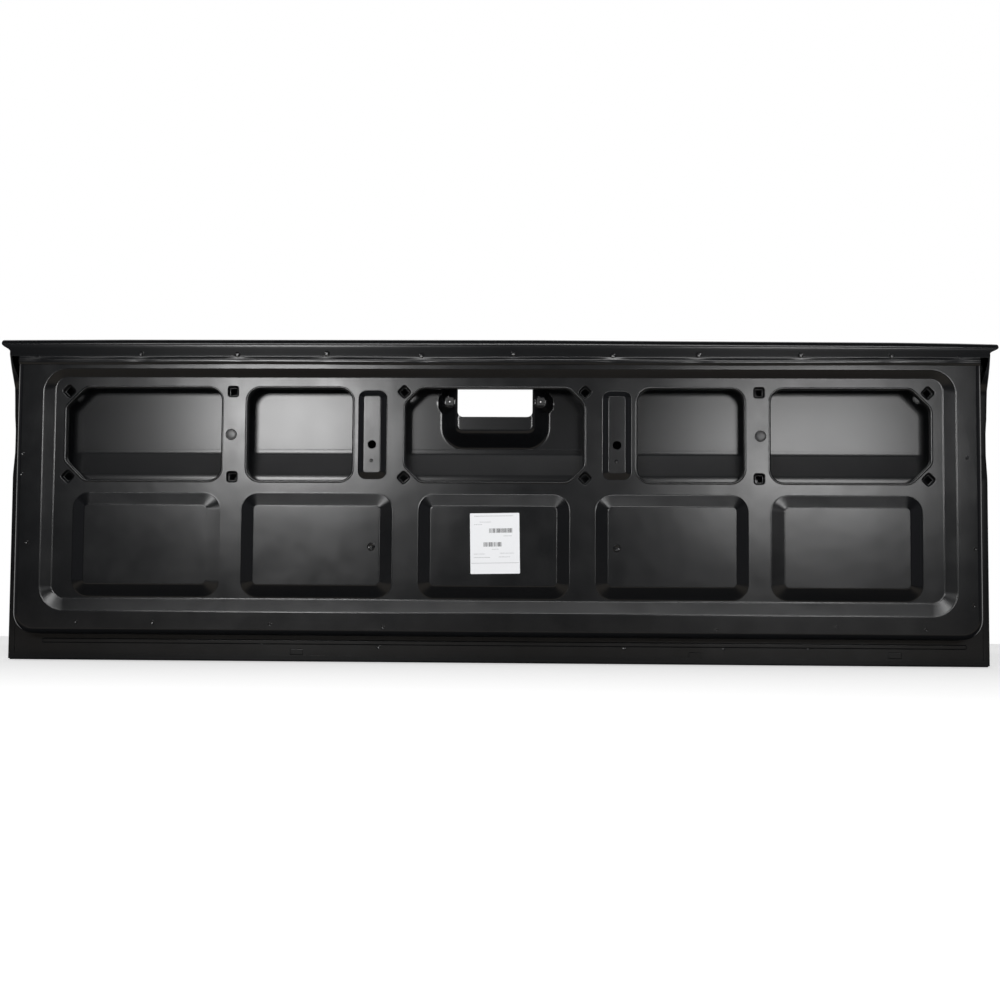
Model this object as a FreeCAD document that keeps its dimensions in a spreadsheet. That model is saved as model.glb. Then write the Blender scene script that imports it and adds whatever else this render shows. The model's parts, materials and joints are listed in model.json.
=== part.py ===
import FreeCAD, Part
import math
import os
import Sketcher
from FreeCAD import Placement, Rotation, Vector

doc = FreeCAD.newDocument("tailgate")

# Bare pickup tailgate: a stamped inner panel hemmed into an outer skin, with no handle, latches or hinges.
# While it is drawn, X runs from the centre line to the right, Y from the inner face back to the skin, and
# Z up from the bottom edge. At the end every piece moves together, so that the origin lies on the left
# hinge seat, on the outer face of the left side wall.

# Driving dimensions in millimetres: name, number, and what it measures.
dimensions = [
    ("sheetGauge", 1.5, "thickness of both panels"),
    ("skinHeight", 521.0, "bottom edge to the top of the roll"),
    ("skinHalfWidth", 796.0, "centre line to the side hem"),
    ("earHalfWidth", 802.0, "centre line to the tip of the top corner ear"),
    ("earRoot", 498.0, "height where the ear leaves the side"),
    ("earTip", 512.0, "height of the lower side of the ear's tip"),
    ("hemWidth", 10.0, "skin folded over the edge of the inner panel"),
    ("hemRoom", 1.0, "room between the panel's edge and the fold"),
    ("lowerDepth", 49.0, "inner face to the skin, below the step"),
    ("upperDepth", 57.0, "inner face to the skin, above the step"),
    ("stepBottom", 309.0, "foot of the step across the skin"),
    ("stepTop", 341.0, "head of the step across the skin"),
    ("stepBend", 30.0, "bend radius of the step"),
    ("rearRoll", 14.0, "radius of the top edge on the outer side"),
    ("frontRoll", 11.0, "radius of the top edge on the inner side"),
    ("rollStandoff", 6.0, "how far the top roll stands in front of the inner face"),
    ("lapHalfWidth", 773.0, "centre line to the end of the welded lap"),
    ("lapFoot", 480.0, "lower edge of the lap over the inner panel"),
    ("lapBeadProud", 4.0, "how far the rolled edge of the lap stands out"),
    ("lapBeadTop", 489.0, "head of the rolled edge"),
    ("lapSeat", 492.5, "height where the lap meets the inner face"),
    ("faceHalfWidth", 775.0, "centre line to the side wall"),
    ("faceBottom", 42.0, "height of the bottom wall"),
    ("faceCorner", 35.0, "lower corner radius of the face"),
    ("faceBend", 9.0, "bend from the face to its walls"),
    ("panelTop", 506.0, "upper edge of the inner panel"),
    ("flangeHalfWidth", 792.0, "centre line to the edge of the side flange"),
    ("flangeBottom", 3.0, "lower edge of the bottom flange"),
    ("fieldHalfWidth", 734.5, "centre line to the rim of the recessed field"),
    ("fieldBottom", 81.0, "lower rim of the field"),
    ("fieldTop", 477.0, "upper rim of the field"),
    ("fieldCorner", 40.0, "corner radius of the rim"),
    ("fieldDepth", 10.0, "face to the floor of the field"),
    ("fieldSlope", 20.0, "width of the sloped band round the field"),
    ("padBottom", 104.0, "lower foot of the five raised pads"),
    ("padTop", 272.0, "upper foot of the pads"),
    ("padCorner", 27.0, "corner radius at the foot of a pad"),
    ("padRise", 9.0, "height of a pad above the field"),
    ("padSlope", 20.0, "width of a pad's sloped band"),
    ("endPadOuter", 682.0, "end pads, far edge"),
    ("endPadInner", 443.0, "end pads, near edge"),
    ("middlePadOuter", 407.0, "middle pads, far edge"),
    ("middlePadInner", 163.0, "middle pads, near edge"),
    ("centrePadHalf", 121.5, "centre pad, half its width"),
    ("ribOuter", 220.0, "slim raised ribs, far edge"),
    ("ribInner", 174.0, "slim raised ribs, near edge"),
    ("ribBottom", 296.0, "lower foot of the ribs"),
    ("ribTop", 439.0, "upper foot of the ribs"),
    ("ribCorner", 13.0, "corner radius at the foot of a rib"),
    ("ribRise", 6.0, "height of a rib above the field"),
    ("ribSlope", 9.5, "width of a rib's sloped band"),
    ("ribHoleHeight", 351.0, "height of the round hole in a rib"),
    ("ribHoleRadius", 7.0, "radius of that hole"),
    ("openingBottom", 293.0, "lower edge of the five openings"),
    ("openingTop", 442.0, "upper edge of the openings"),
    ("endOpeningOuter", 696.0, "end openings, far edge"),
    ("endOpeningInner", 443.0, "end openings, near edge"),
    ("middleOpeningOuter", 400.0, "middle openings, far edge"),
    ("middleOpeningInner", 230.0, "middle openings, near edge"),
    ("centreOpeningHalf", 144.0, "centre opening, half its width"),
    ("openingCorner", 21.0, "plain corner radius of an opening"),
    ("cutCorner", 31.0, "leg of a corner that is cut across"),
    ("cutCornerRadius", 16.0, "radius at both ends of such a cut"),
    ("openingBevel", 4.0, "bevel from the field into an opening"),
    ("openingFlange", 11.0, "depth of the flange round an opening"),
    ("pocketSize", 20.0, "square pockets for the cover's screws, across"),
    ("pocketCorner", 4.0, "corner radius of a pocket"),
    ("pocketDepth", 4.0, "depth of a pocket"),
    ("pocketHole", 10.0, "square hole in a pocket's floor, across"),
    ("upperPocket", 437.0, "height of the upper row of pockets"),
    ("lowerPocket", 298.0, "height of the lower row of pockets"),
    ("endPocket", 693.0, "centre line to the end pockets"),
    ("pillarPocket", 424.5, "centre line to the pillar pockets"),
    ("centrePocket", 146.0, "centre line to the pockets of the centre opening"),
    ("plugPlace", 426.5, "centre line to the pillar plugs"),
    ("plugHeight", 367.0, "height of the pillar plugs"),
    ("plugRadius", 9.2, "radius of a plug's head"),
    ("plugStem", 7.5, "radius of a plug's stem and of its hole"),
    ("plugHead", 1.0, "thickness of a plug's head"),
    ("plugLength", 5.0, "length of a plug's stem"),
    ("dishHalfWidth", 87.0, "handle recess, half its width at the skin"),
    ("dishBottom", 351.0, "lower edge of the handle recess"),
    ("dishTop", 490.0, "upper edge of the handle recess"),
    ("dishCorner", 34.0, "corner radius at the skin"),
    ("dishDepth", 28.0, "depth of the handle recess"),
    ("dishSlope", 23.0, "width of its sloped walls"),
    ("dishBend", 8.0, "bend from its walls to its floor"),
    ("bossPlace", 74.0, "centre line to the handle's screw bosses"),
    ("bossHeight", 424.0, "height of the screw bosses"),
    ("bossRadius", 21.0, "radius of a boss at the skin"),
    ("bossDepth", 26.0, "depth of a boss"),
    ("bossSlope", 10.0, "draft of a boss"),
    ("screwRadius", 3.5, "screw hole in a boss"),
    ("windowHalfWidth", 61.0, "window in the recess, half its width"),
    ("windowBottom", 399.0, "lower edge of the window"),
    ("windowTop", 456.0, "upper edge of the window"),
    ("windowCorner", 9.0, "corner radius of the window"),
    ("plateGauge", 2.5, "thickness of the reinforcement plates"),
    ("plateFoot", 28.0, "width of a plate's leg behind the face"),
    ("plateReach", 36.0, "depth of a plate's leg along the side wall"),
    ("axisDepth", 27.0, "face to the line of the side holes"),
    ("hingeHeight", 102.0, "height of the hinge bore"),
    ("hingeRadius", 16.0, "radius of the hinge bore"),
    ("hingeBoltLow", 137.0, "height of the hinge's lower bolt hole"),
    ("hingeBoltHigh", 169.0, "height of the hinge's upper bolt hole"),
    ("hingePlateBottom", 82.0, "lower end of the hinge plate"),
    ("hingePlateTop", 188.0, "upper end of the hinge plate"),
    ("cableHeight", 262.0, "height of the support cable's bolt hole"),
    ("cablePlateHalf", 24.0, "half the height of the cable plate"),
    ("latchHeight", 420.0, "height of the latch opening's centre"),
    ("latchSlotHalf", 17.0, "half the height of the latch opening"),
    ("latchSlotWidth", 22.0, "width of the latch opening"),
    ("latchSlotCorner", 6.0, "corner radius of the latch opening"),
    ("latchBoltSpan", 58.0, "distance between the latch's bolt holes"),
    ("latchPlateHalf", 44.0, "half the height of the latch plate"),
    ("boltRadius", 4.25, "bolt holes in the side walls"),
    ("nutHalf", 8.5, "square weld nuts, half their width"),
    ("nutBore", 3.4, "weld nuts, bore radius"),
    ("nutHeight", 7.0, "weld nuts, height"),
    ("clipNutHalf", 6.0, "handle weld nuts, half their width"),
    ("clipNutBore", 2.6, "handle weld nuts, bore radius"),
    ("clipNutHeight", 3.5, "handle weld nuts, height"),
]

sheet = doc.addObject("Spreadsheet::Sheet", "sizes")
for row, (alias, number, meaning) in enumerate(dimensions, start=1):
    sheet.set("A%d" % row, alias)
    sheet.set("B%d" % row, str(number))
    sheet.set("C%d" % row, meaning)
    sheet.setAlias("B%d" % row, alias)
doc.recompute()


class Size:
    # A length together with the spreadsheet expression that gives it.
    def __init__(self, value, text):
        self.value = value
        self.text = text

    def __add__(self, other):
        other = as_size(other)
        return Size(self.value + other.value, "(%s + %s)" % (self.text, other.text))

    def __sub__(self, other):
        other = as_size(other)
        return Size(self.value - other.value, "(%s - %s)" % (self.text, other.text))

    def __mul__(self, other):
        other = as_size(other)
        return Size(self.value * other.value, "(%s * %s)" % (self.text, other.text))

    def __truediv__(self, other):
        other = as_size(other)
        return Size(self.value / other.value, "(%s / %s)" % (self.text, other.text))

    def __neg__(self):
        return Size(-self.value, "(-1 * %s)" % self.text)


def as_size(number):
    if isinstance(number, Size):
        return number
    return Size(float(number), "(%r)" % float(number))


def size(alias):
    return Size(float(sheet.get(alias)), "sizes." + alias)


def root(number):
    return Size(math.sqrt(number.value), "sqrt(%s)" % number.text)


def slope_angle(run, depth):
    ratio = run / depth
    return Size(math.degrees(math.atan(ratio.value)), "atan(%s)" % ratio.text)


def bind(thing, prop, amount):
    setattr(thing, prop, amount.value)
    thing.setExpression(prop, amount.text)


def wall_shift(offset, depth, run):
    # How far a sloped wall's foot moves sideways when its surface moves back by the offset.
    length = root(depth * depth + run * run)
    return offset * (length - run) / depth


# Helpers for bodies and sketches

def new_body(name):
    return doc.addObject("PartDesign::Body", name)


def origin_plane(body, role):
    for feature in body.Origin.OriginFeatures:
        if feature.Role == role:
            return feature
    raise ValueError(role)


def new_sketch(body, name, role, distance):
    # The sketch lies on one of its body's origin planes, moved along that plane's normal.
    sketch = body.newObject("Sketcher::SketchObject", name)
    sketch.AttachmentSupport = [(origin_plane(body, role), "")]
    sketch.MapMode = "FlatFace"
    distance = as_size(distance)
    sketch.AttachmentOffset = Placement(Vector(0, 0, distance.value), Rotation())
    sketch.setExpression("AttachmentOffset.Base.z", distance.text)
    return sketch


def face_sketch(body, name, depth):
    # Across is X and up is Z; the plane's own normal points to the inner side.
    return new_sketch(body, name, "XZ_Plane", -as_size(depth))


def side_sketch(body, name, across):
    return new_sketch(body, name, "YZ_Plane", across)


def plan_sketch(body, name, height):
    return new_sketch(body, name, "XY_Plane", height)


def constrain(sketch, rules):
    # Adds rules given as (kind, parts, amount); those with an amount are named and follow their expression.
    made = []
    for kind, parts, amount in rules:
        numbers = () if amount is None else (amount.value,)
        made.append(Sketcher.Constraint(kind, *parts, *numbers))
    first = sketch.ConstraintCount
    sketch.addConstraint(made)
    for index, (kind, parts, amount) in enumerate(rules, start=first):
        if amount is not None:
            label = "%s%d" % (kind.lower(), index)
            sketch.renameConstraint(index, label)
            sketch.setExpression("Constraints." + label, amount.text)


def place_rules(item, vertex, across, up):
    return [("DistanceX", (-1, 1, item, vertex), across), ("DistanceY", (-1, 1, item, vertex), up)]


def bend_arc(before, corner, after, radius):
    # The arc that rounds a corner, and how far from the corner it starts and ends.
    toward = (before - corner).normalize()
    onward = (after - corner).normalize()
    half_turn = (math.pi - toward.getAngle(onward)) / 2
    reach = radius * math.tan(half_turn)
    start = corner + toward * reach
    end = corner + onward * reach
    inward = (toward + onward).normalize()
    middle = corner + inward * (radius / math.cos(half_turn) - radius)
    return start, middle, end


def draw_outline(sketch, corners):
    # A closed outline through corners given as (across, up, radius); no radius leaves a corner sharp.
    corners = [(as_size(a), as_size(u), None if r is None else as_size(r)) for a, u, r in corners]
    count = len(corners)
    places = [Vector(across.value, up.value, 0) for across, up, radius in corners]
    points = [sketch.addGeometry(Part.Point(place), True) for place in places]
    rules = []
    arcs = []
    for i, (across, up, radius) in enumerate(corners):
        rules += place_rules(points[i], 1, across, up)
        if radius is None:
            arcs.append((places[i], None, places[i]))
        else:
            arcs.append(bend_arc(places[i - 1], places[i], places[(i + 1) % count], radius.value))
    lines = []
    for i in range(count):
        following = (i + 1) % count
        lines.append(sketch.addGeometry(Part.LineSegment(arcs[i][2], arcs[following][0]), False))
    for i in range(count):
        line = lines[i]
        previous = lines[i - 1]
        radius = corners[i][2]
        if radius is None:
            rules.append(("Coincident", (line, 1, points[i], 1), None))
            rules.append(("Coincident", (previous, 2, points[i], 1), None))
        else:
            rules.append(("PointOnObject", (points[i], 1, line), None))
            rules.append(("PointOnObject", (points[i], 1, previous), None))
            arc = sketch.addGeometry(Part.Arc(*arcs[i]), False)
            starts = sketch.getPoint(arc, 1).distanceToPoint(arcs[i][0])
            ends = sketch.getPoint(arc, 2).distanceToPoint(arcs[i][0])
            first, last = (1, 2) if starts < ends else (2, 1)
            rules.append(("Tangent", (previous, 2, arc, first), None))
            rules.append(("Tangent", (line, 1, arc, last), None))
            rules.append(("Radius", (arc,), radius))
    constrain(sketch, rules)
    return sketch


def draw_rectangle(sketch, left, right, bottom, top, radius=None):
    return draw_outline(sketch, [(left, bottom, radius), (right, bottom, radius),
                                 (right, top, radius), (left, top, radius)])


def draw_diamond(sketch, across, up, half, radius):
    reach = half * math.sqrt(2)
    return draw_outline(sketch, [(across - reach, up, radius), (across, up - reach, radius),
                                 (across + reach, up, radius), (across, up + reach, radius)])


def draw_circle(sketch, across, up, radius):
    across, up, radius = as_size(across), as_size(up), as_size(radius)
    centre = Vector(across.value, up.value, 0)
    circle = sketch.addGeometry(Part.Circle(centre, Vector(0, 0, 1), radius.value), False)
    constrain(sketch, place_rules(circle, 3, across, up) + [("Radius", (circle,), radius)])
    return sketch


def extrude(body, kind, name, sketch, length, taper=None, backwards=False, both_ways=False):
    feature = body.newObject("PartDesign::" + kind, name)
    feature.Profile = sketch
    bind(feature, "Length", as_size(length))
    feature.Reversed = backwards
    feature.Midplane = both_ways
    if taper is not None:
        bind(feature, "TaperAngle", taper)
    doc.recompute()
    return feature


def pad(body, name, sketch, length, **settings):
    return extrude(body, "Pad", name, sketch, length, **settings)


def pocket(body, name, sketch, length, **settings):
    before = body.Shape.Volume
    feature = extrude(body, "Pocket", name, sketch, length, **settings)
    if not feature.Shape.Volume < before:
        raise RuntimeError(name + " removes nothing")
    return feature


def nearest_edges(base, spots):
    # The names of the edges nearest to the spots.
    names = set()
    for spot in spots:
        vertex = Part.Vertex(spot)
        nearest = None
        for index, edge in enumerate(base.Shape.Edges, start=1):
            box = edge.BoundBox
            box.enlarge(0.5)
            if box.isInside(spot):
                gap = edge.distToShape(vertex)[0]
                if nearest is None or gap < nearest[0]:
                    nearest = (gap, "Edge%d" % index)
        if nearest is None:
            raise RuntimeError(base.Name + " has no edge at a spot")
        names.add(nearest[1])
    return sorted(names)


def round_edges(body, name, radius, spots):
    # Rounds the edges at the spots, with those that run on smoothly from them.
    base = body.Tip
    feature = body.newObject("PartDesign::Fillet", name)
    feature.Base = (base, nearest_edges(base, spots))
    bind(feature, "Radius", as_size(radius))
    doc.recompute()
    return feature


def ease_edges(body, name, width, spots):
    # Bevels the edges at the spots at half a right angle.
    base = body.Tip
    feature = body.newObject("PartDesign::Chamfer", name)
    feature.Base = (base, nearest_edges(base, spots))
    bind(feature, "Size", as_size(width))
    doc.recompute()
    return feature


def mirror_across(body, name, features):
    feature = body.newObject("PartDesign::Mirrored", name)
    feature.Originals = features
    feature.MirrorPlane = (origin_plane(body, "YZ_Plane"), [""])
    body.Tip = feature
    doc.recompute()
    return feature


def combine(kind, name, base, tool):
    feature = doc.addObject("Part::" + kind, name)
    feature.Base = base
    feature.Tool = tool
    doc.recompute()
    return feature


gauge = size("sheetGauge")
height = size("skinHeight")
lower_depth = size("lowerDepth")
upper_depth = size("upperDepth")


def step_corners(offset):
    # The two bends of the step across the skin, for a surface that lies behind the skin's inner one.
    pitch = (upper_depth - lower_depth) / (size("stepTop") - size("stepBottom"))
    drop = offset * (root(pitch * pitch + 1) - 1) / pitch
    low = (lower_depth + offset, size("stepBottom") - drop, size("stepBend") - offset)
    high = (upper_depth + offset, size("stepTop") - drop, size("stepBend") + offset)
    return [low, high]


# Inner panel: both faces of the sheet are drawn as a solid block behind them, and the far one is cut
# from the near one, which leaves an even sheet round every bend.

far_back = upper_depth + gauge * 8


def side_pads():
    return [(size("middlePadInner"), size("middlePadOuter")), (size("endPadInner"), size("endPadOuter"))]


def centre_pad():
    return (-size("centrePadHalf"), size("centrePadHalf"))


def side_openings():
    # Left edge, right edge, and whether the corners on each of those sides are cut across.
    return [(size("middleOpeningInner"), size("middleOpeningOuter"), False, False),
            (size("endOpeningInner"), size("endOpeningOuter"), False, True)]


def centre_opening():
    return (-size("centreOpeningHalf"), size("centreOpeningHalf"), True, True)


def mirrored_span(left, right, *cuts):
    return (-right, -left) + tuple(reversed(cuts))


def all_openings():
    far_ones = [mirrored_span(*span) for span in side_openings()]
    return side_openings() + far_ones + [centre_opening()]


def pocket_rows():
    return [("lower", size("lowerPocket")), ("upper", size("upperPocket"))]


def draw_pockets(sketch, up, half, corner):
    # One row of square pockets on the right half; those beside a cut corner stand on their own corner.
    draw_diamond(sketch, size("centrePocket"), up, half, corner)
    across = size("pillarPocket")
    draw_rectangle(sketch, across - half, across + half, up - half, up + half, corner)
    draw_diamond(sketch, size("endPocket"), up, half, corner)


def draw_opening(sketch, left, right, cut_left, cut_right, spread):
    # An opening's outline, widened all round by the spread.
    low = size("openingBottom") - spread
    high = size("openingTop") + spread
    left = left - spread
    right = right + spread
    plain = size("openingCorner") + spread
    leg = size("cutCorner") + spread * (2 - math.sqrt(2))
    eased = size("cutCornerRadius") + spread
    corners = []
    if cut_left:
        corners += [(left, low + leg, eased), (left + leg, low, eased)]
    else:
        corners += [(left, low, plain)]
    if cut_right:
        corners += [(right - leg, low, eased), (right, low + leg, eased),
                    (right, high - leg, eased), (right - leg, high, eased)]
    else:
        corners += [(right, low, plain), (right, high, plain)]
    if cut_left:
        corners += [(left + leg, high, eased), (left, high - leg, eased)]
    else:
        corners += [(left, high, plain)]
    return draw_outline(sketch, corners)


def stamped_block(name, offset):
    # Everything behind the panel's surface, with that surface moved back by the offset.
    body = new_body(name)
    beyond = size("panelTop") + 30
    low, high = step_corners(offset - gauge)
    flange = side_sketch(body, name + "_flange_outline", 0)
    draw_outline(flange, [(low[0], size("flangeBottom"), None), low, high, (high[0], beyond, None),
                          (far_back, beyond, None), (far_back, size("flangeBottom"), None)])
    pad(body, name + "_flange", flange, size("flangeHalfWidth") * 2, both_ways=True)

    half = size("faceHalfWidth") - offset
    corner = size("faceCorner") - offset
    face = face_sketch(body, name + "_face_outline", offset)
    draw_outline(face, [(-half, size("faceBottom") + offset, corner), (half, size("faceBottom") + offset, corner),
                        (half, beyond, None), (-half, beyond, None)])
    pad(body, name + "_face", face, far_back - offset, backwards=True)

    depth = size("fieldDepth")
    run = size("fieldSlope")
    shift = wall_shift(offset, depth, run)
    rim = (size("fieldHalfWidth") + shift, size("fieldBottom") - shift, size("fieldTop") + shift)
    field = face_sketch(body, name + "_field_rim", offset)
    draw_rectangle(field, -rim[0], rim[0], rim[1], rim[2], size("fieldCorner") + shift)
    pocket(body, name + "_field", field, depth, taper=-slope_angle(run, depth))

    floor = depth + offset
    raised_pads(body, name, "pad", offset, floor, side_pads(), centre_pad())
    raised_pads(body, name, "rib", offset, floor, [(size("ribInner"), size("ribOuter"))], None)
    windows = face_sketch(body, name + "_side_openings", floor)
    for span in side_openings():
        draw_opening(windows, *span, offset)
    side_cut = pocket(body, name + "_side_openings_cut", windows, far_back)
    mirror_across(body, name + "_far_openings_cut", [side_cut])
    middle = face_sketch(body, name + "_centre_opening", floor)
    draw_opening(middle, *centre_opening(), offset)
    pocket(body, name + "_centre_opening_cut", middle, far_back)
    sill = (size("openingBottom") - offset).value
    ease_edges(body, name + "_opening_rims", size("openingBevel") - offset * (2 - math.sqrt(2)),
               [Vector(((span[0] + span[1]) / 2).value, floor.value, sill) for span in all_openings()])
    round_edges(body, name + "_face_bend", size("faceBend") - offset,
                [Vector(0, as_size(offset).value, (size("faceBottom") + offset).value)])

    rows = []
    for row, up in pocket_rows():
        rims = face_sketch(body, name + "_%s_pocket_rims" % row, floor)
        draw_pockets(rims, up, size("pocketSize") / 2 + offset, size("pocketCorner") + offset)
        rows.append(pocket(body, name + "_%s_pockets" % row, rims, size("pocketDepth")))
    mirror_across(body, name + "_far_pockets", rows)
    return body


def raised_pads(body, name, kind, offset, floor, side_spans, centre_span):
    # Pads or ribs pressed forwards out of the field, with sloped walls all round.
    rise = size(kind + "Rise")
    run = size(kind + "Slope")
    shift = wall_shift(offset, rise, run)
    low = size(kind + "Bottom") + shift
    high = size(kind + "Top") - shift
    corner = size(kind + "Corner") - shift
    feet = face_sketch(body, "%s_side_%s_feet" % (name, kind), floor)
    for left, right in side_spans:
        draw_rectangle(feet, left + shift, right - shift, low, high, corner)
    taper = -slope_angle(run, rise)
    side = pad(body, "%s_side_%ss" % (name, kind), feet, rise, taper=taper)
    mirror_across(body, "%s_far_%ss" % (name, kind), [side])
    if centre_span is not None:
        feet = face_sketch(body, "%s_centre_%s_foot" % (name, kind), floor)
        draw_rectangle(feet, centre_span[0] + shift, centre_span[1] - shift, low, high, corner)
        pad(body, "%s_centre_%s" % (name, kind), feet, rise, taper=taper)


def side_piercings(body, name, side, reach):
    # The holes of one side wall, drawn on a plane that lies inside the wall and cut through it outwards.
    start = (size("faceHalfWidth") - reach) * side
    holes = side_sketch(body, name, start)
    middle = size("axisDepth")
    draw_circle(holes, middle, size("hingeHeight"), size("hingeRadius"))
    draw_circle(holes, middle, size("hingeBoltLow"), size("boltRadius"))
    draw_circle(holes, middle, size("hingeBoltHigh"), size("boltRadius"))
    draw_circle(holes, middle, size("cableHeight"), size("boltRadius"))
    span = size("latchBoltSpan") / 2
    draw_circle(holes, middle, size("latchHeight") - span, size("boltRadius"))
    draw_circle(holes, middle, size("latchHeight") + span, size("boltRadius"))
    half = size("latchSlotWidth") / 2
    draw_rectangle(holes, middle - half, middle + half, size("latchHeight") - size("latchSlotHalf"),
                   size("latchHeight") + size("latchSlotHalf"), size("latchSlotCorner"))
    return holes


def inner_panel():
    near = stamped_block("panel_near_side", as_size(0))
    far = stamped_block("panel_far_side", gauge)
    sheet_metal = combine("Cut", "panel_sheet", near, far)

    # What the press and the trimming die take off: the top, and all that lies behind the opening flanges.
    trim = new_body("panel_trim")
    top = size("panelTop")
    above = side_sketch(trim, "trim_above", 0)
    draw_rectangle(above, -gauge * 4, far_back + gauge, top, top + 60)
    pad(trim, "trim_top", above, size("faceHalfWidth") * 2 + 200, both_ways=True)
    behind = face_sketch(trim, "trim_behind", size("fieldDepth") + size("openingFlange"))
    room = gauge * 3
    for left, right, *cuts in all_openings():
        draw_rectangle(behind, left - room, right + room, size("openingBottom") - room, size("openingTop") + room)
    pad(trim, "trim_flanges", behind, far_back, backwards=True)
    trimmed = combine("Cut", "panel_trimmed", sheet_metal, trim)

    # Pierced holes: pockets, ribs and pillars from the front, and the side walls.
    holes = new_body("panel_piercings")
    behind_pockets = size("fieldDepth") + size("pocketDepth") * 2
    through = size("fieldDepth") + size("pocketDepth") * 3
    cuts = []
    for row, up in pocket_rows():
        front = face_sketch(holes, row + "_square_holes", behind_pockets)
        draw_pockets(front, up, size("pocketHole") / 2, size("pocketCorner") / 4)
        cuts.append(pad(holes, row + "_square_piercings", front, through))
    front = face_sketch(holes, "round_holes", behind_pockets)
    draw_circle(front, (size("ribOuter") + size("ribInner")) / 2, size("ribHoleHeight"), size("ribHoleRadius"))
    draw_circle(front, size("plugPlace"), size("plugHeight"), size("plugStem"))
    cuts.append(pad(holes, "round_piercings", front, through))
    right = side_piercings(holes, "right_holes", 1, gauge * 4)
    cuts.append(pad(holes, "side_piercings", right, gauge * 8))
    mirror_across(holes, "far_piercings", cuts)
    return combine("Cut", "inner_panel", trimmed, holes)


# Outer skin: one profile from the lap at the top to the hem at the bottom, then the ears, the side hems and
# the handle recess.

def skin_profile(sketch):
    standoff = size("rollStandoff")
    seat = size("lapSeat")
    lean = (standoff - gauge) / (height - seat)
    stretch = root(lean * lean + 1)
    inner_top = height - gauge
    hem_front = lower_depth - gauge * 2
    hem_radius = gauge * 1.45
    hem_inside = gauge * 0.45
    outer_low, outer_high = step_corners(gauge)
    inner_low, inner_high = step_corners(as_size(0))
    bead = size("lapBeadProud")
    easing = gauge
    return draw_outline(sketch, [
        (0, size("lapFoot"), None),
        (-bead, size("lapFoot"), easing),
        (-bead, size("lapBeadTop"), easing),
        (-gauge, seat, easing),
        (-standoff, height, size("frontRoll")),
        (upper_depth + gauge, height, size("rearRoll")),
        outer_high,
        outer_low,
        (lower_depth + gauge, 0, hem_radius),
        (hem_front, 0, hem_radius),
        (hem_front, size("hemWidth"), None),
        (lower_depth - gauge, size("hemWidth"), None),
        (lower_depth - gauge, gauge, hem_inside),
        (lower_depth, gauge, hem_inside),
        inner_low,
        inner_high,
        (upper_depth, inner_top, size("rearRoll") - gauge),
        (-gauge - lean * (inner_top - seat) + gauge * stretch, inner_top, size("frontRoll") - gauge),
        (0, seat + gauge * (stretch - 1) / lean, None),
    ])


def side_hem(body, name, side):
    # The skin's edge folded forwards over the panel's side flange.
    outside = size("skinHalfWidth")
    top = size("earRoot") - gauge
    front_low, front_high = step_corners(-gauge * 2)
    back_low, back_high = step_corners(as_size(0))
    fold = side_sketch(body, name + "_fold_outline", outside * side)
    draw_outline(fold, [(front_low[0], gauge * 1.5, None), front_low, front_high, (front_high[0], top, None),
                        (back_high[0] + gauge / 4, top, None), (back_high[0] + gauge / 4, back_high[1], None),
                        (back_low[0] + gauge / 4, back_low[1], None), (back_low[0] + gauge / 4, gauge * 1.5, None)])
    folded = pad(body, name + "_fold", fold, size("hemWidth"), backwards=side > 0)
    slot_low, slot_high = step_corners(-gauge)
    slot_back_low, slot_back_high = step_corners(as_size(0))
    slot = side_sketch(body, name + "_slot_outline", (outside - size("hemWidth") * 2) * side)
    draw_outline(slot, [(slot_low[0], gauge, None), slot_low, slot_high, (slot_high[0], top + gauge, None),
                        (slot_back_high[0], top + gauge, None), slot_back_high, slot_back_low,
                        (slot_back_low[0], gauge, None)])
    room = size("flangeHalfWidth") + size("hemRoom") - outside + size("hemWidth") * 2
    slotted = pocket(body, name + "_slot", slot, room, backwards=side > 0)
    return [folded, slotted]


def trim_ends(body):
    # Outside the ears, and outside the end of the lap, the sheet is cut away.
    far = size("earHalfWidth") + 40
    outside = size("skinHalfWidth")
    below = face_sketch(body, "skin_end_outline", -size("rollStandoff") * 2)
    for side in (-1, 1):
        draw_outline(below, [(outside * side, -20, None), (outside * side, size("earRoot"), 3),
                             (size("earHalfWidth") * side, size("earTip"), 4),
                             (size("earHalfWidth") * side, height + 20, None),
                             (far * side, height + 20, None), (far * side, -20, None)])
    pocket(body, "skin_ends", below, far_back * 2)
    lap = face_sketch(body, "lap_end_outline", -size("rollStandoff") * 2)
    for side in (-1, 1):
        draw_rectangle(lap, size("lapHalfWidth") * side, far * side, size("lapFoot") - 20, size("earRoot") + 4)
    pocket(body, "lap_ends", lap, size("rollStandoff") * 2 + size("frontRoll"))


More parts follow.
